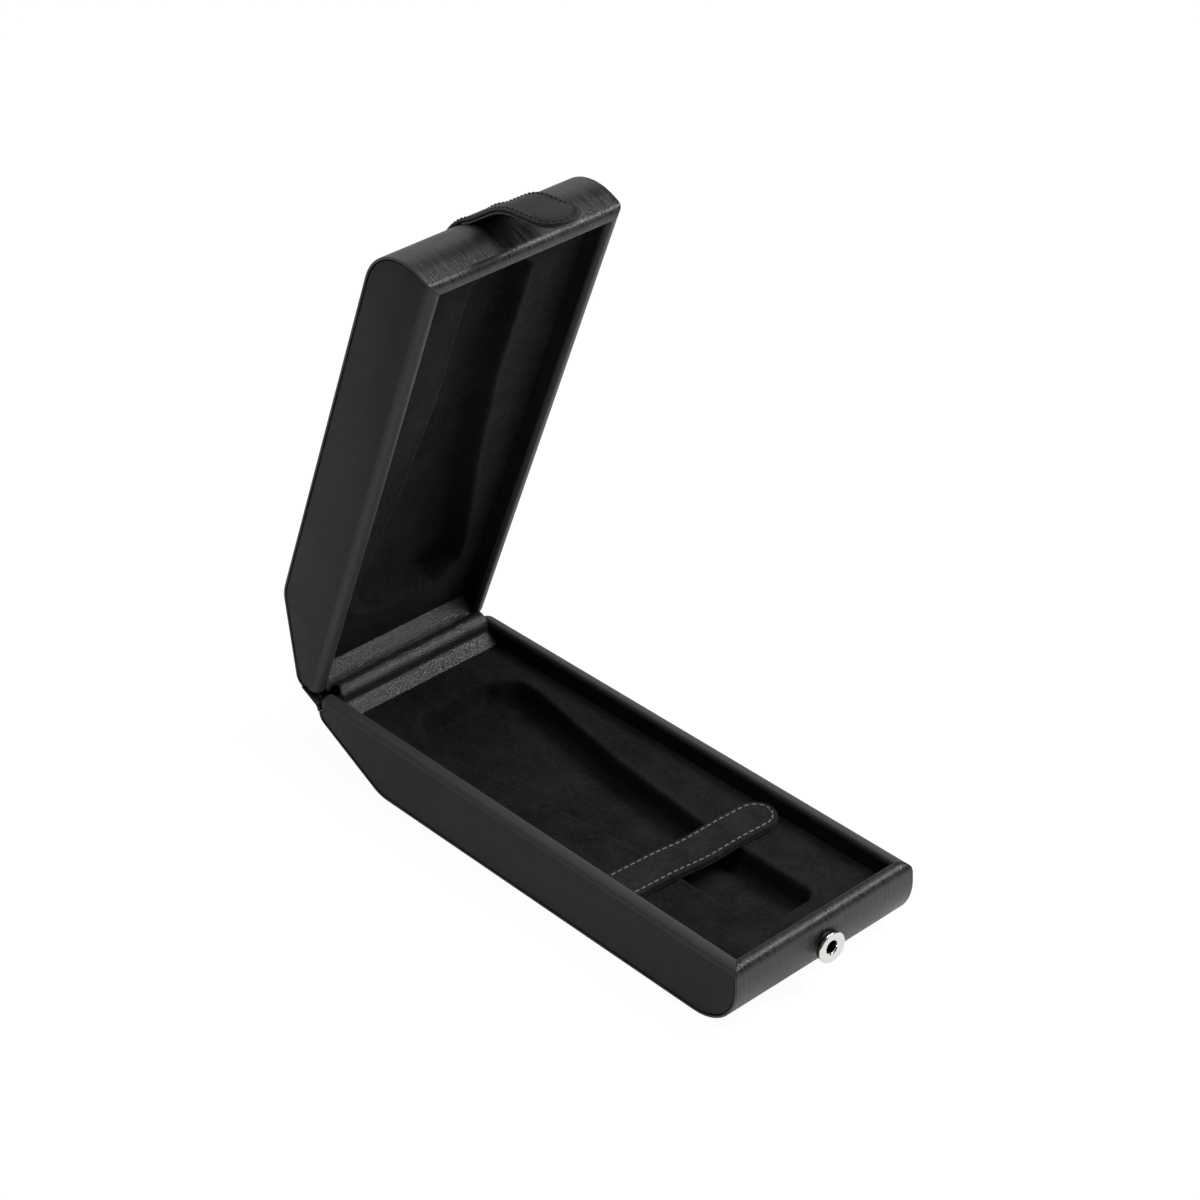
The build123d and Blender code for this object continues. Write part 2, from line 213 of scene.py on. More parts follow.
def offset_ring(ring, amount):
    """A closed dense ring moved inwards by an amount, outwards if negative."""
    after, before = np.roll(ring, -1, 0), np.roll(ring, 1, 0)
    ahead = after - ring
    behind = ring - before
    ahead /= np.linalg.norm(ahead, axis=1)[:, None]
    behind /= np.linalg.norm(behind, axis=1)[:, None]
    way = ahead + behind
    way /= np.linalg.norm(way, axis=1)[:, None]
    area = np.sum(ring[:, 0] * after[:, 1] - after[:, 0] * ring[:, 1]) / 2
    normal = np.stack([-way[:, 1], way[:, 0]], 1) * (1 if area > 0 else -1)
    return ring + normal * amount


def tray_corners(inset, start, end):
    """Side view corners of a tray from its nose to its front wall, moved in by an inset."""
    drop = DEPTH - NOSE_HEIGHT
    reach = NOSE_RUN * drop + inset * math.hypot(NOSE_RUN, drop)
    return [
        (inset, start),
        (inset, (reach - drop * inset) / NOSE_RUN),
        ((reach - NOSE_RUN * inset) / drop, inset),
        (LENGTH - inset, inset),
        (LENGTH - inset, end),
    ]


# Meshes


def finished(name, bm, material, smooth_angle=40.0):
    """Turns a bmesh into an object of the scene. Its end caps stay flat, the rest is smooth."""
    bmesh.ops.recalc_face_normals(bm, faces=bm.faces)
    bm.faces.index_update()
    caps = {face.index for face in bm.faces if len(face.verts) != 4}
    mesh = bpy.data.meshes.new(name)
    bm.to_mesh(mesh)
    bm.free()
    for face in mesh.polygons:
        face.use_smooth = face.index not in caps
    mesh.set_sharp_from_angle(angle=math.radians(smooth_angle))
    mesh.materials.append(material)
    piece = bpy.data.objects.new(name, mesh)
    bpy.context.scene.collection.objects.link(piece)
    return piece


def skin(bm, rings, cap_first=True, cap_last=True):
    """Joins closed rings of points one after the other and returns their vertices."""
    grid = [[bm.verts.new(point) for point in ring] for ring in rings]
    for a, b in zip(grid, grid[1:]):
        for k in range(len(a)):
            n = (k + 1) % len(a)
            bm.faces.new((a[k], a[n], b[n], b[k]))
    if cap_first:
        bm.faces.new(grid[0])
    if cap_last:
        bm.faces.new(list(reversed(grid[-1])))
    return grid


def loft(name, rings, material, smooth_angle=40.0):
    """Closed skin over a run of rings with equally many points."""
    bm = bmesh.new()
    skin(bm, rings)
    return finished(name, bm, material, smooth_angle)


def flat_section(low, high, thick, round_edge, columns):
    """Cross-section of a strip from one edge to the other: pairs of place across and depth."""
    r = min(round_edge, thick / 2 - 0.01)
    level = high - low - 2 * r
    first = 0.35
    top = [(low + r + level * k / columns, 0.0) for k in range(columns + 1)]
    bottom = [(high - r - level * k / columns, -thick) for k in range(columns + 1)]
    right = []
    for t in np.linspace(first, math.pi / 2, 4):
        right.append((high - r + r * math.sin(t), -r + r * math.cos(t)))
    for t in np.linspace(math.pi / 2, math.pi - first, 4):
        right.append((high - r + r * math.sin(t), -thick + r + r * math.cos(t)))
    left = [(low + high - across, -thick - depth) for across, depth in right]
    return top + right + bottom + left


def strip(name, place, line, reach, thick, round_edge, material, side=1, wave=None, columns=20):
    """Leather strip along a side view line. Reach gives the low and high edge at each point."""
    rows = []
    for i, (p, n) in enumerate(zip(line, left_normals(line) * side)):
        low, high = reach(i, p) if callable(reach) else reach
        row = []
        for across, depth in flat_section(low, high, thick, round_edge, columns):
            lift = depth + (wave(i, across) if wave else 0.0)
            row.append(place(across, p[0] + n[0] * lift, p[1] + n[1] * lift))
        rows.append(row)
    return loft(name, rows, material)


def turned(name, origin, axis, profile, material, steps=64):
    """Turned piece: profile gives pairs of radius and height along the axis."""
    axis = Vector(axis).normalized()
    side = axis.orthogonal().normalized()
    other = axis.cross(side)
    spokes = [
        side * math.cos(t) + other * math.sin(t)
        for t in np.linspace(0, 2 * math.pi, steps, endpoint=False)
    ]
    rings = []
    for radius, height in profile:
        middle = origin + axis * height * MM
        rings.append([middle + spoke * max(radius, 0.004) * MM for spoke in spokes])
    return loft(name, rings, material, 35.0)


def stitches(name, spots, material, length, thickness):
    """Sewn thread: one small rounded stitch at each spot, given as point, way and outward."""
    rng = random.Random(7)
    bm = bmesh.new()
    for point, way, out in spots:
        way, out = way.normalized(), out.normalized()
        cross = way.cross(out)
        slant = way + cross * 0.05 * rng.uniform(-1, 1)
        reach = length * rng.uniform(0.94, 1.05) / 2
        rings = []
        for t in np.linspace(-1, 1, 9):
            fat = thickness / 2 * math.sqrt(max(0.0, 1 - abs(t) ** 3)) + 0.01
            lift = thickness * (0.18 - 0.44 * t * t)
            middle = point + slant * (t * reach * MM) + out * (lift * MM)
            ring = []
            for a in np.linspace(0, 2 * math.pi, 8, endpoint=False):
                ring.append(middle + (cross * math.cos(a) + out * math.sin(a) * 0.8) * fat * MM)
            rings.append(ring)
        skin(bm, rings)
    return finished(name, bm, material, 80.0)


# Materials

WHITE = (1.0, 1.0, 1.0, 1.0)
# Sockets of a Mix node that is set to colours
MIX_A, MIX_B, MIX_RESULT = 6, 7, 2


class Wire:
    """One value of a node tree, so that shader sums are written as sums."""

    def __init__(self, graph, socket):
        self.graph = graph
        self.socket = socket

    def combine(self, operation, *values):
        return self.graph.node("ShaderNodeMath", {"operation": operation}, dict(enumerate(values)))

    def __abs__(self):
        return self.combine("ABSOLUTE", self)

    def __add__(self, other):
        return self.combine("ADD", self, other)

    def __radd__(self, other):
        return self.combine("ADD", other, self)

    def __sub__(self, other):
        return self.combine("SUBTRACT", self, other)

    def __rsub__(self, other):
        return self.combine("SUBTRACT", other, self)

    def __mul__(self, other):
        return self.combine("MULTIPLY", self, other)

    def __rmul__(self, other):
        return self.combine("MULTIPLY", other, self)


class Graph:
    """Node tree of a material or a world: its first shader's constants, then nodes one by one."""

    def __init__(self, owner, **constants):
        owner.use_nodes = True
        self.owner = owner
        self.tree = owner.node_tree
        end = next(node for node in self.tree.nodes if "Output" in node.bl_idname)
        self.surface = end.inputs["Surface"]
        self.shader = self.surface.links[0].from_node
        for key, value in constants.items():
            self.shader.inputs[key.replace("_", " ")].default_value = value

    def node(self, kind, settings=None, values=None, output=0):
        """Adds a node: its settings first, then the values or links of its sockets."""
        made = self.tree.nodes.new(kind)
        for key, value in (settings or {}).items():
            if key == "stops":
                ramp = made.color_ramp
                while len(ramp.elements) < len(value):
                    ramp.elements.new(0.5)
                for element, (spot, colour) in zip(ramp.elements, value):
                    element.position = spot
                    element.color = colour
            else:
                setattr(made, key, value)
        for key, value in (values or {}).items():
            if isinstance(value, Wire):
                self.tree.links.new(value.socket, made.inputs[key])
            else:
                made.inputs[key].default_value = value
        return Wire(self, made.outputs[output])

    def place(self, stretch=(1.0, 1.0, 1.0)):
        """Place on the piece, in its own coordinates, drawn out by a stretch along each axis."""
        spot = self.node("ShaderNodeTexCoord", output="Object")
        return self.node("ShaderNodeVectorMath", {"operation": "MULTIPLY"}, {0: spot, 1: stretch})

    def noise(self, spot, scale, detail=3.0, roughness=0.55):
        values = {"Vector": spot, "Scale": scale, "Detail": detail, "Roughness": roughness}
        return self.node("ShaderNodeTexNoise", values=values, output="Fac")

    def pebbles(self, spot, scale):
        """Distance from the seams between small cells."""
        values = {"Vector": spot, "Scale": scale}
        return self.node("ShaderNodeTexVoronoi", {"feature": "DISTANCE_TO_EDGE"}, values, "Distance")

    def ramp(self, value, stops):
        grey = [(spot, (level, level, level, 1.0)) for spot, level in stops]
        return self.node("ShaderNodeValToRGB", {"stops": grey}, {"Fac": value})

    def smooth_step(self, value, low, high):
        """0 at the low value, 1 at the high one, eased between them."""
        values = {"Value": value, "From Min": low, "From Max": high}
        return self.node("ShaderNodeMapRange", {"interpolation_type": "SMOOTHSTEP"}, values)

    def blend(self, factor, a, b):
        values = {"Factor": factor, MIX_A: (*a, 1.0), MIX_B: (*b, 1.0)}
        return self.node("ShaderNodeMix", {"data_type": "RGBA"}, values, MIX_RESULT)

    def bump(self, height, strength, distance):
        values = {"Height": height, "Strength": strength, "Distance": distance}
        return self.node("ShaderNodeBump", values=values)

    def feed(self, **wires):
        """Leads values to sockets of the first shader and returns the finished material."""
        for key, wire in wires.items():
            self.tree.links.new(wire.socket, self.shader.inputs[key.replace("_", " ")])
        return self.owner

    def choose(self, factor, other):
        """Shows another shader in place of the first one, by a factor."""
        first = Wire(self, self.shader.outputs[0])
        mixed = self.node("ShaderNodeMixShader", values={0: factor, 1: first, 2: other})
        self.tree.links.new(mixed.socket, self.surface)


def shade(colour, factor):
    """A darker or lighter copy of a colour."""
    return tuple(channel * factor for channel in colour)


def lined_leather(name, colour, gloss):
    """Black leather pressed with fine lines that run along the strip, satin on its bends."""
    g = Graph(bpy.data.materials.new(name), Specular_IOR_Level=0.6)
    lines = g.noise(g.place((1.0, 0.05, 0.05)), 1500.0, 3.0, 0.7)
    fine = g.noise(g.place((1.0, 0.15, 0.15)), 3000.0, 2.0)
    cloud = g.noise(g.place(), 38.0, 3.0)
    height = lines * 0.75 + fine * 0.25
    tone = g.ramp(lines * 0.8 + cloud * 0.2, [(0.42, 0.0), (0.6, 1.0)])
    rough = gloss + 0.5 * (lines - 0.5) + 0.14 * (cloud - 0.5)
    return g.feed(
        Base_Color=g.blend(tone, shade(colour, 0.4), shade(colour, 1.9)),
        Roughness=rough,
        Normal=g.bump(height, 0.85, 0.0005),
    )


def smooth_leather(name, colour, gloss, grain, shine, painted_highlight_colour=None):
    """Smooth leather with a very fine pebble and slight clouding. On a rim, a painted highlight makes
    the top paler.
    """
    g = Graph(bpy.data.materials.new(name), Specular_IOR_Level=shine)
    pebble = g.pebbles(g.place(), 1500.0)
    pores = g.noise(g.place(), 2200.0, 3.0)
    cloud = g.noise(g.place(), 45.0, 4.0)
    worn = g.noise(g.place(), 420.0, 3.0)
    height = g.ramp(pebble, [(0.0, 0.0), (0.25, 1.0)]) * 0.35 + pores * 0.65
    rough = gloss + 0.14 * (worn - 0.5) + 0.12 * (cloud - 0.5)
    tone = cloud * 0.6 + worn * 0.4
    # Painted highlight: the mask top is 1 inwards of the rim's outer edge and paints the rim's top in
    # the highlight colour.
    if painted_highlight_colour:
        across = g.node("ShaderNodeSeparateXYZ", values={0: g.place()}, output="X")
        top = g.smooth_step(abs(across), 0.0401, 0.0391)
        tone = 0.12 * tone + 0.88 * top
    return g.feed(
        Base_Color=g.blend(tone, shade(colour, 0.78), shade(painted_highlight_colour or colour, 1.24)),
        Roughness=rough,
        Normal=g.bump(height, 0.3 * grain, 0.00012 * grain),
    )


def suede_cloth(name, colour, sheen, nap):
    """Napped suede: soft clouds of brushed nap over short fibres."""
    owner = bpy.data.materials.new(name)
    g = Graph(owner, Specular_IOR_Level=0.1, Sheen_Weight=sheen, Sheen_Roughness=0.6)
    fibre = g.noise(g.place(), 2600.0, 3.0, 0.7)
    speck = g.noise(g.place(), 640.0, 4.0, 0.7)
    brushed = g.noise(g.place((1.0, 0.6, 0.8)), 110.0, 4.0, 0.6)
    cloud = g.noise(g.place(), 28.0, 3.0)
    tone = g.ramp(0.24 * cloud + 0.3 * brushed + 0.46 * speck, [(0.38, 0.0), (0.62, 1.0)])
    height = fibre * 0.4 + speck * 0.6
    return g.feed(
        Base_Color=g.blend(tone, shade(colour, 0.35), shade(colour, 1.9)),
        Roughness=0.9 + 0.14 * (speck - 0.5),
        Normal=g.bump(height, nap, 0.0006),
    )


def twisted_thread(name, colour):
    """Sewing thread with its plies and a little soil."""
    g = Graph(bpy.data.materials.new(name), Specular_IOR_Level=0.3, Sheen_Weight=0.15)
    ply = g.noise(g.place(), 5200.0, 2.0)
    soil = g.noise(g.place(), 260.0, 2.0)
    return g.feed(
        Base_Color=g.blend(soil * 0.5 + ply * 0.5, shade(colour, 0.66), shade(colour, 1.08)),
        Roughness=0.62 + 0.2 * ply,
        Normal=g.bump(ply, 0.5, 0.0001),
    )


def polished_metal(name, colour, gloss):
    """Plated metal with a faint haze and rubbed lines."""
    g = Graph(bpy.data.materials.new(name), Metallic=1.0)
    haze = g.noise(g.place(), 900.0, 3.0)
    rub = g.noise(g.place((1.0, 0.15, 1.0)), 3800.0, 2.0)
    return g.feed(
        Base_Color=g.blend(haze, shade(colour, 0.93), shade(colour, 1.05)),
        Roughness=gloss + 0.09 * haze + 0.05 * rub,
        Normal=g.bump(rub * 0.5 + haze * 0.5, 0.05, 0.00005),
    )


def pulp_board(name, colour):
    """Pressed board, as bookbinders use."""
    g = Graph(bpy.data.materials.new(name), Specular_IOR_Level=0.2)
    pulp = g.noise(g.place(), 700.0, 5.0)
    return g.feed(
        Base_Color=g.blend(pulp, shade(colour, 0.7), shade(colour, 1.2)),
        Roughness=0.85 + 0.1 * pulp,
        Normal=g.bump(pulp, 0.4, 0.0002),
    )


def material(key):
    """The material of one finish, made once from the colours of the panel."""
    found = bpy.data.materials.get(key)
    if found:
        return found
    c = bpy.context.scene.watch_case_colours
    makers = {
        "outer leather": lambda: lined_leather(key, c.outer_leather, 0.36),
        "side leather": lambda: smooth_leather(key, c.panel_leather, 0.46, 1.3, 0.15),
        # The side rims get a painted highlight: their tops are given a paler colour.
        "rim leather with painted highlight": lambda: smooth_leather(key, c.panel_leather, 0.42, 1.3, 0.18, c.rim_leather_painted_highlight),
        "hinge leather": lambda: smooth_leather(key, c.hinge_leather, 0.36, 2.4, 1.0),
        "tab leather": lambda: smooth_leather(key, c.tab_leather, 0.5, 1.6, 0.22),
        "lining suede": lambda: suede_cloth(key, c.lining_suede, 0.02, 0.55),
        "strap suede": lambda: suede_cloth(key, c.strap_suede, 0.05, 0.6),
        "pale thread": lambda: twisted_thread(key, c.pale_thread),
        "dark thread": lambda: twisted_thread(key, c.dark_thread),
        "nickel": lambda: polished_metal(key, c.nickel, 0.16),
        # Darkened nickel is painted shade.
        "nickel in painted shade": lambda: polished_metal(key, c.nickel_painted_shade, 0.3),
        "board": lambda: pulp_board(key, c.board),
    }
    return makers[key]()


def dress(node, key):
    """Gives a node of the model its finish."""
    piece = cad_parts[node]
    piece.data.materials.clear()
    piece.data.materials.append(material(key))


# Properties


def length(name, description, value, low, high):
    """A length property, its default and limits given in millimetres."""
    return FloatProperty(
        name=name,
        description=description,
        default=value * MM,
        min=low * MM,
        max=high * MM,
        precision=5,
        subtype="DISTANCE",
        unit="LENGTH",
    )


def colour(name, description, value):
    return FloatVectorProperty(
        name=name, description=description, subtype="COLOR", size=3, min=0.0, max=1.0, default=value
    )


class WatchCaseSizes(bpy.types.PropertyGroup):
    """Sizes of the pieces that are made here"""

    stitch_pitch: length("Stitch pitch", "From one strap stitch to the next", 2.75, 1.5, 6.0)
    stitch_length: length("Stitch length", "Visible length of one strap stitch", 2.25, 0.8, 5.0)
    stitch_inset: length("Stitch inset", "From the strap's edge to its stitches", 1.7, 0.8, 4.0)
    rim_rounding: length("Rim rounding", "Radius of the front rim's outer edge", 3.8, 1.0, 4.2)
    roll_radius: length("Hinge roll radius", "Outside radius of the hinge's roll", 4.4, 2.0, 5.0)


class WatchCaseColours(bpy.types.PropertyGroup):
    """Colours of the leathers, suedes, threads and metals"""

    outer_leather: colour(
        "Outer leather", "Lined black leather of the outside strip", (0.014, 0.014, 0.0145)
    )
    panel_leather: colour(
        "Side panels", "Smooth charcoal leather of the sides", (0.0145, 0.0135, 0.012)
    )
    # Colour of the painted highlight on the tops of the side rims.
    rim_leather_painted_highlight: colour(
        "Rim painted highlight", "Painted highlight on the tops of the side rims", (0.058, 0.057, 0.055)
    )
    hinge_leather: colour(
        "Hinge leather", "Soft leather inside the hinge", (0.012, 0.0117, 0.0112)
    )
    tab_leather: colour("Tab leather", "Leather of the closing tab", (0.015, 0.0148, 0.0145))
    lining_suede: colour(
        "Lining suede", "Suede of the padding and the walls", (0.0108, 0.0103, 0.0098)
    )
    strap_suede: colour("Strap suede", "Suede of the strap", (0.0145, 0.014, 0.0134))
    pale_thread: colour("Strap thread", "Pale thread round the strap", (0.24, 0.24, 0.235))
    dark_thread: colour("Tab thread", "Dark thread round the tab", (0.006, 0.006, 0.006))
    nickel: colour("Nickel", "Press stud on the front", (0.86, 0.84, 0.81))
    # Nickel darkened as painted shade: the shade on the post under the tab and inside the stud's bore.
    nickel_painted_shade: colour(
        "Nickel in painted shade", "Painted shade on the post under the tab and in the bore of the stud", (0.07, 0.066, 0.062)
    )
    board: colour("Board", "Stiff board inside the walls", (0.3, 0.27, 0.23))


# Operators


class WATCHCASE_OT_outer_leather(bpy.types.Operator):
    """Lined leather strip round the outside of both trays, turned over the front rim"""

    bl_idname = "watch_case.outer_leather"
    bl_label = "Outer leather"
    bl_options = {"REGISTER", "UNDO"}

    def execute(self, context):
        rounding = context.scene.watch_case_sizes.rim_rounding / MM
        hem = LENGTH - WALL
        corners = tray_corners(0, SPINE_START, DEPTH) + [(hem, DEPTH), (hem, RIM_FOOT - 0.3)]
        radii = [0, BEND_RADIUS, FLOOR_BEND, END_RADIUS, rounding, WALL - rounding - 0.1, 0]
        line = rounded(corners, radii, step=0.5)
        line = np.concatenate([resample(line[:3], 1.2), line[3:]])
        taper = RIM_HEIGHT + 1.2

        def reach(i, p):
            """Full width up to the front wall's rim, where the strip's corners are cut back."""
            if p[0] < LENGTH - 8 or p[1] < DEPTH - taper:
                return -HALF, HALF
            corner = max(0.0, (p[1] - DEPTH + taper) / taper)
            over = max(LENGTH - p[0], 0.7 * corner**3)
            return -HALF + over, HALF - over

        for body, place in TRAYS.items():
            name = body + "_outer_leather_strip"
            leather = material("outer leather")
            piece = strip(name, place, line, reach, LEATHER, 0.4, leather, side=-1, columns=24)
            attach(piece, body)
            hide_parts(body + "_outer_leather")
        return {"FINISHED"}


def rim_section():
    """Cross-section of a side rim: distance from the inner wall and height over the rim's foot."""
    wide = WALL - PANEL_INSET + 0.02
    inside, inside_drop = 1.2, 1.7
    outside, outside_drop = wide - inside - 0.2, 2.75
    section = [(0.0, 0.0)]
    for t in np.linspace(0, math.pi / 2, 11):
        height = RIM_HEIGHT - inside_drop * (1 - math.sin(t))
        section.append((inside - inside * math.cos(t), height))
    for t in np.linspace(0, math.pi / 2, 11):
        height = RIM_HEIGHT - outside_drop * (1 - math.cos(t))
        section.append((wide - outside * (1 - math.sin(t)), height))
    return section + [(wide, -0.5), (wide - 0.5, -0.5), (wide - 0.5, 0.0)]


class WATCHCASE_OT_rims(bpy.types.Operator):
    """Rounded leather rims along the sides, running down round the tips at the hinge"""

    bl_idname = "watch_case.rims"
    bl_label = "Side rims"
    bl_options = {"REGISTER", "UNDO"}

    def execute(self, context):
        section = rim_section()
        for body, place in TRAYS.items():
            for word, side in SIDES.items():
                rows = []
                for turn in np.linspace(math.pi / 2, 0, 14):
                    row = []
                    for a, h in section:
                        reach = TIP_RADIUS - RIM_HEIGHT + h
                        run = TIP_RADIUS - reach * math.sin(turn)
                        rise = DEPTH - TIP_RADIUS + reach * math.cos(turn)
                        row.append(place(side * (INNER + a), run, rise))
                    rows.append(row)
                for run in np.linspace(TIP_RADIUS + 4, LENGTH - WALL - 4, 40):
                    rows.append([place(side * (INNER + a), run, RIM_FOOT + h) for a, h in section])
                mitre = LENGTH - WALL - 0.03
                rows.append([place(side * (INNER + a), mitre + a, RIM_FOOT + h) for a, h in section])
                piece = loft(f"{body}_{word}_rim_leather", rows, material("rim leather with painted highlight"))
                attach(piece, body)
                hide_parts(body + "_rim")
        return {"FINISHED"}


class WATCHCASE_OT_side_panels(bpy.types.Operator):
    """Smooth leather panels let into the sides of both trays"""

    bl_idname = "watch_case.side_panels"
    bl_label = "Side panels"
    bl_options = {"REGISTER", "UNDO"}

    def execute(self, context):
        inset = LEATHER + PANEL_INSET
        outside = HALF - PANEL_INSET
        tuck = 0.2
        top = RIM_FOOT + tuck
        tip = TIP_RADIUS - RIM_HEIGHT + tuck
        level = DEPTH - TIP_RADIUS
        points = [(TIP_RADIUS, top), (TIP_RADIUS - tip, top), (TIP_RADIUS - tip, level)]
        points += tray_corners(inset, level - 1.6, top)
        radii = [0, tip, 0.5, 0.5, BEND_RADIUS - inset, FLOOR_BEND - inset, END_RADIUS - inset, 0.6]
        outline = resample_ring(rounded(points, radii, closed=True, step=0.8), 0.9)
        edge = ((0, 0.9), (0, 0.4), (0.08, 0.16), (0.25, 0.04), (0.45, 0.0))
        for body, place in TRAYS.items():
            for word, side in SIDES.items():
                rings = []
                for shrink, depth in edge:
                    ring = offset_ring(outline, shrink)
                    rings.append([place(side * (outside - depth), run, rise) for run, rise in ring])
                piece = loft(f"{body}_{word}_panel_leather", rings, material("side leather"))
                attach(piece, body)
                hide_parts(f"{body}_{word}_panel")
        return {"FINISHED"}


def drawn(place, ring, inward, drop):
    """A ring on the padding, moved inwards and drawn down."""
    return [place(across, run, PAD_TOP - drop) for run, across in offset_ring(ring, inward)]


class WATCHCASE_OT_padding(bpy.types.Operator):
    """Suede padding of both trays, drawn down into a watch-shaped recess"""

    bl_idname = "watch_case.padding"
    bl_label = "Suede padding"
    bl_options = {"REGISTER", "UNDO"}

    # Pairs of distance inwards and drop, from the soft lip of the recess to its floor
    LIP = (
        (-3.6, 0.0),
        (-2.8, -0.02),
        (-2.1, -0.16),
        (-1.4, -0.2),
        (-0.8, 0.05),
        (-0.35, 0.65),
        (-0.05, 1.6),
        (0.15, 2.8),
        (0.35, 4.3),
        (0.6, 5.9),
        (1.0, 7.3),
        (1.6, 8.4),
        (2.4, 9.05),
        (3.3, RECESS_DEPTH - 0.06),
        (4.2, RECESS_DEPTH),
    )
    # The same for the padding's rounded border along the walls
    BORDER = ((0.0, 1.3), (0.25, 0.75), (0.7, 0.3), (1.4, 0.06), (2.2, 0.0), (3.2, 0.0))

    def execute(self, context):
        corners = RECESS + [(run, -across) for run, across in reversed(RECESS)]
        radii = RECESS_RADII + RECESS_RADII[::-1]
        outline = resample_ring(rounded(corners, radii, closed=True, step=0.8), 1.0)
        box = [(PAD_START, PAD_EDGE), (PAD_END, PAD_EDGE), (PAD_END, -PAD_EDGE), (PAD_START, -PAD_EDGE)]
        rim = resample_ring(rounded(box, [2.0] * 4, closed=True, step=0.8), 2.0)
        for body, place in TRAYS.items():
            bm = bmesh.new()
            lip = [drawn(place, outline, *step) for step in self.LIP]
            inner = skin(bm, lip, cap_first=False)
            border = [drawn(place, rim, *step) for step in self.BORDER]
            outer = skin(bm, border, cap_first=False, cap_last=False)
            edges = []
            for ring in (outer[-1], inner[0]):
                for k, vert in enumerate(ring):
                    edges.append(bm.edges.get((vert, ring[(k + 1) % len(ring)])))
            bmesh.ops.triangle_fill(bm, edges=edges, use_beauty=True)
            piece = finished(body + "_padding", bm, material("lining suede"), 60.0)
            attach(piece, body)
            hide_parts(body + "_suede", body + "_foam")
        return {"FINISHED"}


class WATCHCASE_OT_wall_lining(bpy.types.Operator):
    """Suede on the inside of the side walls and the front wall"""

    bl_idname = "watch_case.wall_lining"
    bl_label = "Wall lining"
    bl_options = {"REGISTER", "UNDO"}

    def execute(self, context):
        inside = INNER - 0.1
        front = LENGTH - WALL - 0.1
        corners = [(TIP_RADIUS, -inside), (front, -inside), (front, inside), (TIP_RADIUS, inside)]
        path = rounded(corners, [0, 1.6, 1.6, 0], step=0.3)
        path = np.concatenate([resample(path[:2], 6.0), path[2:-2], resample(path[-2:], 6.0)])
        low, high = PAD_TOP - 1.0, RIM_FOOT + 0.3
        middle = (low + high) / 2
        section = [(0.0, low), (0.0, low + 0.8), (0.06, middle), (0.0, high), (0.8, high), (0.8, low)]
        for body, place in TRAYS.items():
            rows = []
            for p, n in zip(path, -left_normals(path)):
                rows.append([place(p[1] + n[1] * a, p[0] + n[0] * a, rise) for a, rise in section])
            piece = loft(body + "_wall_suede", rows, material("lining suede"))
            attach(piece, body)
            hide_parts(body + "_wall_lining")
        return {"FINISHED"}


class WATCHCASE_OT_hinge(bpy.types.Operator):
    """Leather hinge: outer spine and the inner strip with its roll and flaps"""

    bl_idname = "watch_case.hinge"
    bl_label = "Hinge leather"
    bl_options = {"REGISTER", "UNDO"}

    def execute(self, context):
        self.spine()
        self.inner_strip(context.scene.watch_case_sizes.roll_radius / MM)
        return {"FINISHED"}

    def spine(self):
        """Strip from the base's nose to the lid's, bent where the two meet."""
        lid_nose = swing(0, DEPTH + RIM_GAP + SPINE_OVERLAP)
        corner = (0.0, lid_nose[1] + lid_nose[0] / math.tan(LID_ANGLE))
        line = rounded([(0.0, SPINE_START + 0.05), corner, lid_nose], [0, SPINE_BEND, 0], step=0.3)
        line = resample(line, 0.4)
        leather = material("outer leather")
        reach = (-HALF, HALF)
        name = "spine_leather_strip"
        piece = strip(name, in_base, line, reach, LEATHER, 0.4, leather, side=-1, columns=24)
        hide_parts("spine_leather")
        start = in_base(0, 0, SPINE_START + 0.8)
        in_base(0, *lid_nose)
        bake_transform(piece)

    def inner_strip(self, r):
        """Strip from the base's padding over the roll to the lid's padding."""
        near, far = ROLL_RUN + r, ROLL_RUN - r
        lid_start = swing(4.4, CLOSED_HEIGHT - 26.0)
        path = [(12.4, 21.0), (11.6, 21.6), (8.6, 23.9), (near + 0.1, 25.1), (near, ROLL_HEIGHT)]
        for t in np.linspace(0.15, math.pi - 0.15, 16):
            path.append((ROLL_RUN + r * math.cos(t), ROLL_HEIGHT + r * math.sin(t)))
        path += [(far, ROLL_HEIGHT), (far - 0.45, 26.7)]
        path += [(lid_start[0] + 0.5, lid_start[1] - 1.6), lid_start]
        path.append(swing(7.8, CLOSED_HEIGHT - 20.9))
        line = softened(resample(np.array(path), 0.35), 3)

        def reach(i, p):
            rolled = math.exp(-(((p[0] - ROLL_RUN) / 4.0) ** 2)) * (p[1] > 24.5)
            return -INNER + 0.5 + 1.9 * rolled, INNER - 0.5 + 0.2 * rolled

        def wave(i, across):
            t = i / len(line)
            wide = 0.1 * math.sin(0.31 * across + 5 * t) * math.sin(0.13 * across + 1.3)
            return wide + 0.05 * math.sin(0.9 * across + 9 * t)

        leather = material("hinge leather")
        name = "hinge_inner_leather"
        piece = strip(name, in_base, line, reach, 0.95, 0.45, leather, -1, wave, columns=44)
        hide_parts("hinge_roll", "base_flap", "lid_flap")
        start = in_base(0, far + 0.4, 26.0)
        in_base(0, *lid_start)
        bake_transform(piece)


def strap_line():
    """Underside of the strap: where it starts across, its length, and its line of run and height."""
    start = -INNER + STRAP_ROOT_GAP + STRAP_WIDTH / 2 * math.sin(STRAP_SKEW)
    end = INNER - STRAP_TIP_GAP
    strap_length = (end - start) / math.cos(STRAP_SKEW)
    middle = -start / math.cos(STRAP_SKEW)
    low = PAD_TOP + STRAP_LIFT
    knots = [
        (0.0, low),
        (middle - STRAP_SAG_HALF, low),
        (middle, low - STRAP_SAG),
        (middle + STRAP_SAG_HALF, low),
        (strap_length, low),
    ]
    line = resample(rounded(knots, [0, 60, 60, 60, 0], step=0.8), 0.5)
    return start, strap_length, softened(line, 12)


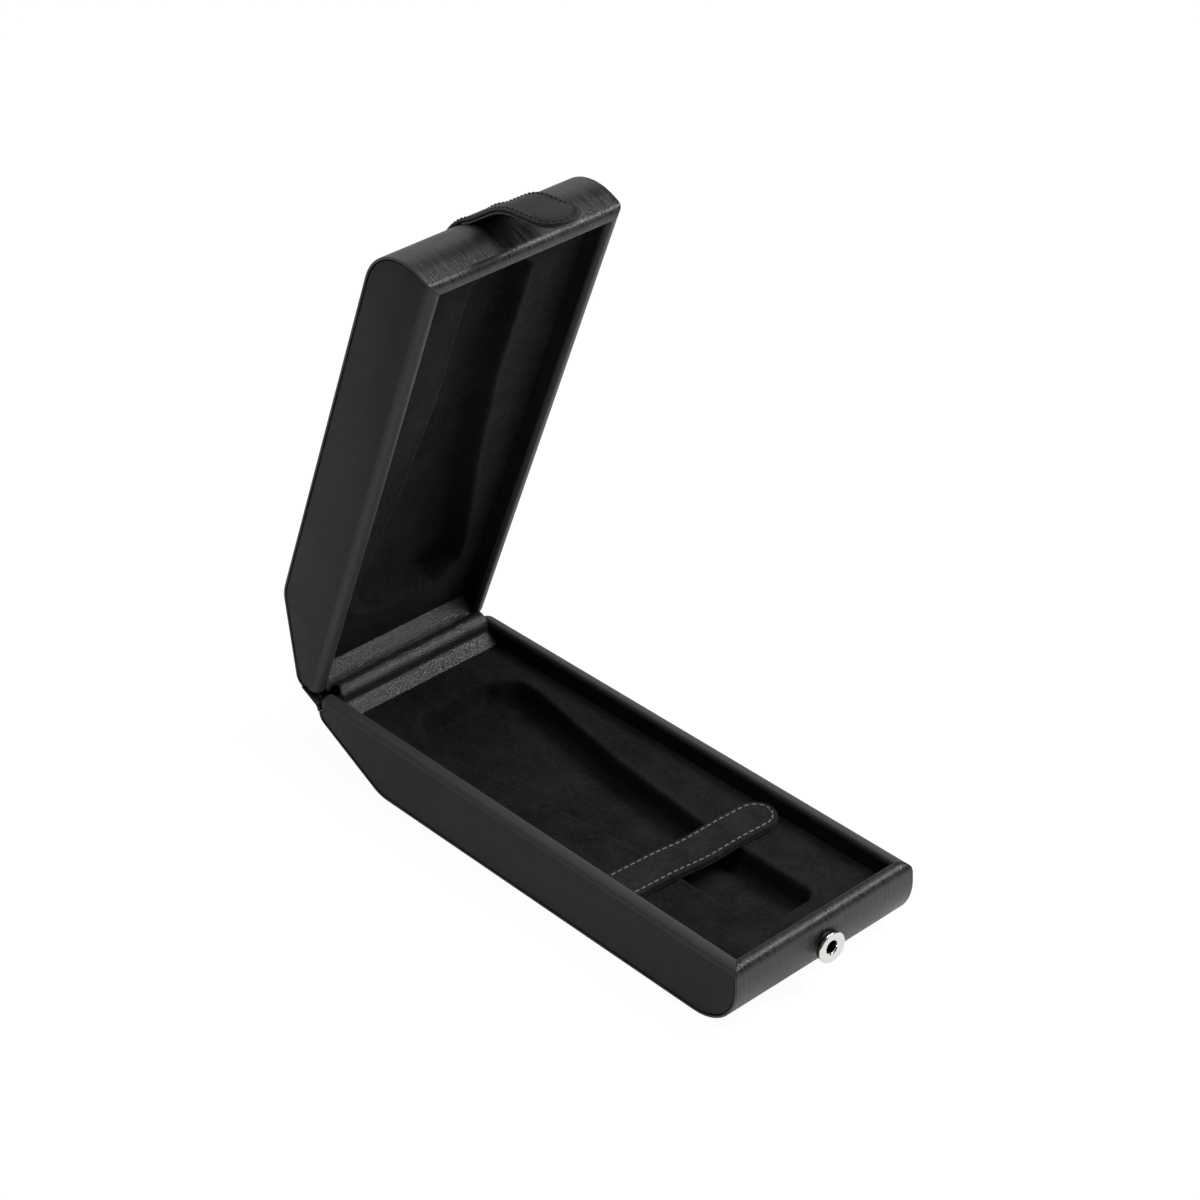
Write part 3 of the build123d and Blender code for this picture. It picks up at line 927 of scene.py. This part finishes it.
class WATCHCASE_OT_strap(bpy.types.Operator):
    """Two layers of suede sewn together with pale thread, over the recess"""

    bl_idname = "watch_case.strap"
    bl_label = "Strap"
    bl_options = {"REGISTER", "UNDO"}

    def execute(self, context):
        sizes = context.scene.watch_case_sizes
        start, strap_length, line = strap_line()
        half = STRAP_WIDTH / 2
        tip = strap_length - half
        upper = 2 * STRAP_LAYER + STRAP_SEAM

        def place(across, run, rise):
            x = start + run * math.cos(STRAP_SKEW) + across * math.sin(STRAP_SKEW)
            tray_run = STRAP_RUN + run * math.sin(STRAP_SKEW) - across * math.cos(STRAP_SKEW)
            return in_base(x, tray_run, rise)

        def underside(run):
            return np.interp(run, line[:, 0], line[:, 1])

        def reach(i, p):
            width = half if p[0] <= tip else math.sqrt(max(0.05, half**2 - (p[0] - tip) ** 2))
            return -width, width

        def crown(i, across):
            return -0.16 * (abs(across) / half) ** 6

        root, bent = place(0, 0.5, line[0][1]), place(0, STRAP_BENT, line[0][1])
        ends = [tip + half * math.sin(t) for t in np.linspace(0, math.pi / 2 - 0.08, 16)]
        stations = np.vstack([line[line[:, 0] < tip], [(run, underside(run)) for run in ends]])
        for layer, top in (("strap_lining", STRAP_LAYER), ("strap_suede", upper)):
            raised = stations + np.array([0.0, top])
            suede = material("strap suede")
            piece = strip(layer + "_layer", place, raised, reach, STRAP_LAYER, 0.5, suede, wave=crown)
            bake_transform(piece)
            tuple(root)
            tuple(bent)
            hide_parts(layer)

        radius = half - sizes.stitch_inset / MM
        track = [(run, radius) for run in np.arange(0.8, tip, 0.25)]
        for t in np.linspace(0, math.pi, 90):
            track.append((tip + radius * math.sin(t), radius * math.cos(t)))
        track += [(run, -radius) for run in np.arange(tip, 0.8, -0.25)]
        track = resample(np.array(track), sizes.stitch_pitch / MM)
        points = [place(across, run, underside(run) + upper) for run, across in track]
        spots = []
        for before, here, after in zip(points, points[1:], points[2:]):
            spots.append((here, after - before, Vector((0, 0, 1))))
        thread = material("pale thread")
        sewn = stitches("strap_stitches", spots, thread, sizes.stitch_length / MM, 0.52)
        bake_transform(sewn)
        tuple(root)
        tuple(bent)
        return {"FINISHED"}


def tab_points():
    """Crease, bend and cap centre of the tab in the lid's side view.

    The cap is placed so that it lies over the stud once the lid is closed and the tab swung down.
    """
    centre = np.array([LENGTH - END_RADIUS, END_RADIUS])
    spoke = np.array([math.cos(TAB_ROOT_ANGLE), -math.sin(TAB_ROOT_ANGLE)])
    crease = centre + TAB_CREASE_RADIUS * spoke
    out = LENGTH + CAP_STANDOFF - crease[0]
    down = CLOSED_HEIGHT - STUD_HEIGHT - crease[1]
    c, s = math.cos(TAB_LEAN), math.sin(TAB_LEAN)
    cap = crease + np.array([out * c + down * s, down * c - out * s])
    lower = out / math.sin(TAB_LOWER_LEAN - TAB_LEAN)
    bend = crease + lower * np.array([math.sin(TAB_LOWER_LEAN), math.cos(TAB_LOWER_LEAN)])
    return crease, bend, cap


def tab_line(crease, bend, tip):
    """Outside line of the closing tab, from its root on the lid's back to its tip."""
    centre = (LENGTH - END_RADIUS, END_RADIUS)
    gap = 1.25
    root = [(centre[0] - TAB_ROOT, -gap), (centre[0], -gap)]
    last = math.pi / 2 - TAB_ROOT_ANGLE - math.radians(1.3)
    for t in np.linspace(0.03, last, 24):
        radius = END_RADIUS + gap + 0.85 * (t / last) ** 3
        root.append((centre[0] + radius * math.sin(t), centre[1] - radius * math.cos(t)))
    free = rounded([crease, bend, tip], [0, TAB_BEND_RADIUS, 0], step=0.5)
    return softened(resample(np.vstack([root, free[1:]]), 0.5), 10)


def lid_way(run, rise):
    """Way in the scene of a way in the lid's side view, drawn out to 10 mm to keep its digits."""
    return (in_lid(0, 10 * run, 10 * rise) - in_lid(0, 0, 0)).normalized()


class WATCHCASE_OT_tab(bpy.types.Operator):
    """Closing tab: sewn leather, lining, leather-covered cap and metal post"""

    bl_idname = "watch_case.tab"
    bl_label = "Closing tab"
    bl_options = {"REGISTER", "UNDO"}

    # Radius and height of the cap's crown
    CROWN = (
        (0.0, -0.1),
        (6.6, -0.1),
        (6.7, 0.02),
        (6.55, 0.16),
        (6.25, 0.3),
        (5.7, 0.42),
        (4.6, 0.52),
        (2.6, 0.58),
        (0.0, 0.6),
    )

    def execute(self, context):
        half = TAB_WIDTH / 2
        crease, bend, cap_centre = tab_points()
        way = np.array([math.sin(TAB_LEAN), math.cos(TAB_LEAN)])
        line = tab_line(crease, bend, cap_centre + way * half)
        straight = line[: int(np.argmax((line - cap_centre) @ way > 0))]
        round_end = [cap_centre + way * half * math.sin(t) for t in np.linspace(0.0, 1.5, 16)]
        stations = np.vstack([straight, round_end])
        normals = left_normals(stations)

        def reach(i, p):
            beyond = (p - cap_centre) @ way if i >= len(straight) else 0.0
            width = math.sqrt(max(0.05, half**2 - beyond**2))
            return -width, width

        def crown(i, across):
            return -0.1 * (abs(across) / half) ** 8

        fold = in_lid(0, *crease)
        onward = (in_lid(0, *bend) - fold).normalized() * 3 * MM
        crease_from, crease_to = fold - onward, fold + onward
        leather = material("tab leather")
        name = "tab_leather_strip"
        piece = strip(name, in_lid, stations, reach, 1.15, 0.52, leather, side=-1, wave=crown)
        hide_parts("tab_leather", "tab_root")
        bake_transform(piece)
        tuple(crease_from)
        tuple(crease_to)

        # The lining starts a little before the crease
        skip = int(np.argmin(np.linalg.norm(stations - crease, axis=1))) - 10
        under = (stations + normals * 1.16)[skip:]

        def under_reach(i, p):
            return reach(i + skip, stations[i + skip])

        soft = material("hinge leather")
        lining = strip("tab_lining_layer", in_lid, under, under_reach, 0.85, 0.35, soft, side=-1)
        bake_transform(lining)
        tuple(crease_from)
        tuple(crease_to)
        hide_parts("tab_lining")

        radius = half - TAB_STITCH_INSET
        side = resample(straight, 0.5)[8:]
        track = [(*p, radius) for p in side]
        for t in np.linspace(0.05, math.pi - 0.05, 60):
            track.append((*(cap_centre + way * radius * math.sin(t)), radius * math.cos(t)))
        track += [(*p, -radius) for p in side[::-1]]
        track = resample(np.array(track), TAB_STITCH_PITCH)
        points = [in_lid(across, run, rise) for run, rise, across in track]
        spots = []
        for k in range(1, len(track) - 1):
            near = int(np.argmin(np.linalg.norm(stations - track[k][:2], axis=1)))
            spots.append((points[k], points[k + 1] - points[k - 1], lid_way(*-normals[near])))
        sewn = stitches("tab_stitches", spots, material("dark thread"), 2.0, 0.66)
        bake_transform(sewn)
        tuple(crease_from)
        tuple(crease_to)

        out = lid_way(math.cos(TAB_LEAN), -math.sin(TAB_LEAN))
        cap = turned("tab_covered_cap", in_lid(0, *cap_centre), out, self.CROWN, leather)
        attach(cap, "tab")
        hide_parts("tab_snap_cap")
        # The post is given the darkened nickel, painted shade for the shade under the tab.
        dress("tab_snap_post", "nickel in painted shade")
        return {"FINISHED"}


class WATCHCASE_OT_stud(bpy.types.Operator):
    """Nickel press stud on the front wall, with a rolled edge and an open bore"""

    bl_idname = "watch_case.stud"
    bl_label = "Press stud"
    bl_options = {"REGISTER", "UNDO"}

    def execute(self, context):
        centre = in_base(0, LENGTH, STUD_HEIGHT)
        front = (0, -1, 0)
        disc = [(2.36, 0.9), (5.3, 1.5), (5.6, 1.7)]
        for t in np.linspace(0, 1.5, 7):
            disc.append((5.7 - 0.55 * (1 - math.cos(t)), 2.05 + 0.6 * math.sin(t)))
        disc += [(4.7, 2.7), (4.0, 2.62), (3.3, 2.5), (2.9, 2.42), (2.6, 2.28), (2.42, 2.0), (2.36, 0.9)]
        piece = turned("press_stud", centre, front, disc, material("nickel"), 96)
        # The bore is given the darkened nickel, painted shade inside the hole.
        neck = [(0.0, 0.05), (5.2, 0.05), (5.45, 0.3), (5.3, 0.9), (5.4, 1.4), (5.2, 1.6)]
        neck += [(2.33, 1.6), (2.33, 0.8), (0.0, 0.8)]
        bore = turned("press_stud_neck", centre, front, neck, material("nickel in painted shade"))
        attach(bore, "base")
        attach(piece, "base")
        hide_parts("front_stud")
        return {"FINISHED"}


class WATCHCASE_OT_boards(bpy.types.Operator):
    """Stiff boards inside the walls, which show only where the leather parts"""

    bl_idname = "watch_case.boards"
    bl_label = "Boards"
    bl_options = {"REGISTER", "UNDO"}

    def execute(self, context):
        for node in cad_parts:
            if node.endswith("_board"):
                dress(node, "board")
        return {"FINISHED"}


# Lamps of the stage in metres: place, target, size and power
LAMPS = {
    "back softbox": ((-0.15, 1.0, 1.0), (0, 0, 0.05), 0.9, 1.6),
    "top softbox": ((0.1, -0.15, 1.3), (0, -0.05, 0.03), 0.5, 5.0),
    "right softbox": ((0.36, -0.36, 0.56), (0, -0.1, 0.03), 0.24, 3.3),
    "right back softbox": ((0.62, 0.75, 0.75), (0, 0, 0.03), 0.5, 0.5),
    "left softbox": ((-1.3, 0.1, 0.9), (0, 0, 0.1), 0.7, 0.5),
    "front softbox": ((0.5, -1.3, 0.6), (0, 0, 0.05), 0.5, 0.4),
}
# Camera fitted to the photograph: azimuth, elevation and roll in degrees, and place in metres
CAMERA_TURN = (-38.594, 32.279, -4.17)
CAMERA_PLACE = (-0.54030, -0.68396, 0.65049)
CAMERA_LENS = 92.455


class WATCHCASE_OT_stage(bpy.types.Operator):
    """White floor, soft lamps and the camera"""

    bl_idname = "watch_case.stage"
    bl_label = "Stage"
    bl_options = {"REGISTER", "UNDO"}

    def execute(self, context):
        context.scene.view_settings.view_transform = "Standard"
        self.floor()
        self.world(context.scene)
        self.lamps(context.scene)
        self.camera(context.scene)
        return {"FINISHED"}

    def floor(self):
        """Floor that rises into a backdrop. It looks white, and is dimmer to mirror rays."""
        g = Graph(bpy.data.materials.new("studio floor"), Roughness=0.9, Specular_IOR_Level=0.1)
        speck = g.noise(g.place(), 300.0, 2.0)
        white = g.feed(Base_Color=g.blend(speck, (0.93, 0.93, 0.93), (0.95, 0.95, 0.95)))
        glow = g.node("ShaderNodeEmission", values={"Color": WHITE, "Strength": 1.07})
        seen = g.node("ShaderNodeLightPath", output="Is Camera Ray")
        mirrored = g.node("ShaderNodeLightPath", output="Is Glossy Ray")
        g.choose(seen * 0.9 + mirrored * 0.34, glow)

        half, near, far, bend, top = 2.4, -1.6, 1.0, 0.6, 2.4
        profile = [(near, 0.0), (far, 0.0)]
        for t in np.linspace(0.1, math.pi / 2, 16):
            profile.append((far + bend * math.sin(t), bend - bend * math.cos(t)))
        profile.append((far + bend, top))
        bm = bmesh.new()
        left, right = ([bm.verts.new((x, y, z)) for y, z in profile] for x in (-half, half))
        for k in range(len(profile) - 1):
            bm.faces.new((left[k], right[k], right[k + 1], left[k + 1]))
        finished("studio_floor", bm, white)

    def world(self, scene):
        """Faint even light, with pale surroundings for the camera."""
        g = Graph(bpy.data.worlds.new("studio light"), Color=WHITE, Strength=0.07)
        seen = g.node("ShaderNodeLightPath", output="Is Camera Ray")
        pale = g.node("ShaderNodeBackground", values={"Color": (0.8, 0.8, 0.8, 1.0), "Strength": 1.0})
        g.choose(seen, pale)
        scene.world = g.owner

    def lamps(self, scene):
        for name, (spot, target, size, power) in LAMPS.items():
            data = bpy.data.lights.new(name, "AREA")
            data.shape = "SQUARE"
            data.size = size
            data.energy = power
            lamp = bpy.data.objects.new(name, data)
            lamp.location = spot
            lamp.rotation_euler = (Vector(target) - Vector(spot)).to_track_quat("-Z", "Y").to_euler()
            scene.collection.objects.link(lamp)

    def camera(self, scene):
        azimuth, elevation, roll = (math.radians(angle) for angle in CAMERA_TURN)
        level = math.cos(elevation)
        backward = Vector((math.sin(azimuth) * level, -math.cos(azimuth) * level, math.sin(elevation)))
        right = Vector((math.cos(azimuth), math.sin(azimuth), 0))
        up = backward.cross(right)
        across = right * math.cos(roll) + up * math.sin(roll)
        upward = up * math.cos(roll) - right * math.sin(roll)
        camera = bpy.data.objects.new("camera", bpy.data.cameras.new("camera"))
        camera.data.sensor_width = 36.0
        camera.data.lens = CAMERA_LENS
        camera.data.clip_end = 20.0
        turn = Matrix((across, upward, backward)).transposed().to_4x4()
        camera.matrix_world = Matrix.Translation(CAMERA_PLACE) @ turn
        scene.collection.objects.link(camera)
        scene.camera = camera


class WATCHCASE_PT_panel(bpy.types.Panel):
    """Sidebar panel with the case's pieces, sizes and colours"""

    bl_label = "Watch case"
    bl_idname = "WATCHCASE_PT_panel"
    bl_space_type = "VIEW_3D"
    bl_region_type = "UI"
    bl_category = "Watch case"

    def draw(self, context):
        for group in (context.scene.watch_case_sizes, context.scene.watch_case_colours):
            box = self.layout.box()
            for key in group.__annotations__:
                box.prop(group, key)
        for operator in OPERATORS:
            self.layout.operator(operator.bl_idname)


OPERATORS = (
    WATCHCASE_OT_stage,
    WATCHCASE_OT_outer_leather,
    WATCHCASE_OT_rims,
    WATCHCASE_OT_side_panels,
    WATCHCASE_OT_padding,
    WATCHCASE_OT_wall_lining,
    WATCHCASE_OT_hinge,
    WATCHCASE_OT_strap,
    WATCHCASE_OT_tab,
    WATCHCASE_OT_stud,
    WATCHCASE_OT_boards,
)
CLASSES = (WatchCaseSizes, WatchCaseColours, *OPERATORS, WATCHCASE_PT_panel)


def register():
    for cls in CLASSES:
        bpy.utils.register_class(cls)
    bpy.types.Scene.watch_case_sizes = PointerProperty(type=WatchCaseSizes)
    bpy.types.Scene.watch_case_colours = PointerProperty(type=WatchCaseColours)


def unregister():
    del bpy.types.Scene.watch_case_colours
    del bpy.types.Scene.watch_case_sizes
    for cls in reversed(CLASSES):
        bpy.utils.unregister_class(cls)


def main():
    register()
    for operator in OPERATORS:
        group, name = operator.bl_idname.split(".")
        getattr(getattr(bpy.ops, group), name)()


if __name__ == "__main__":
    main()
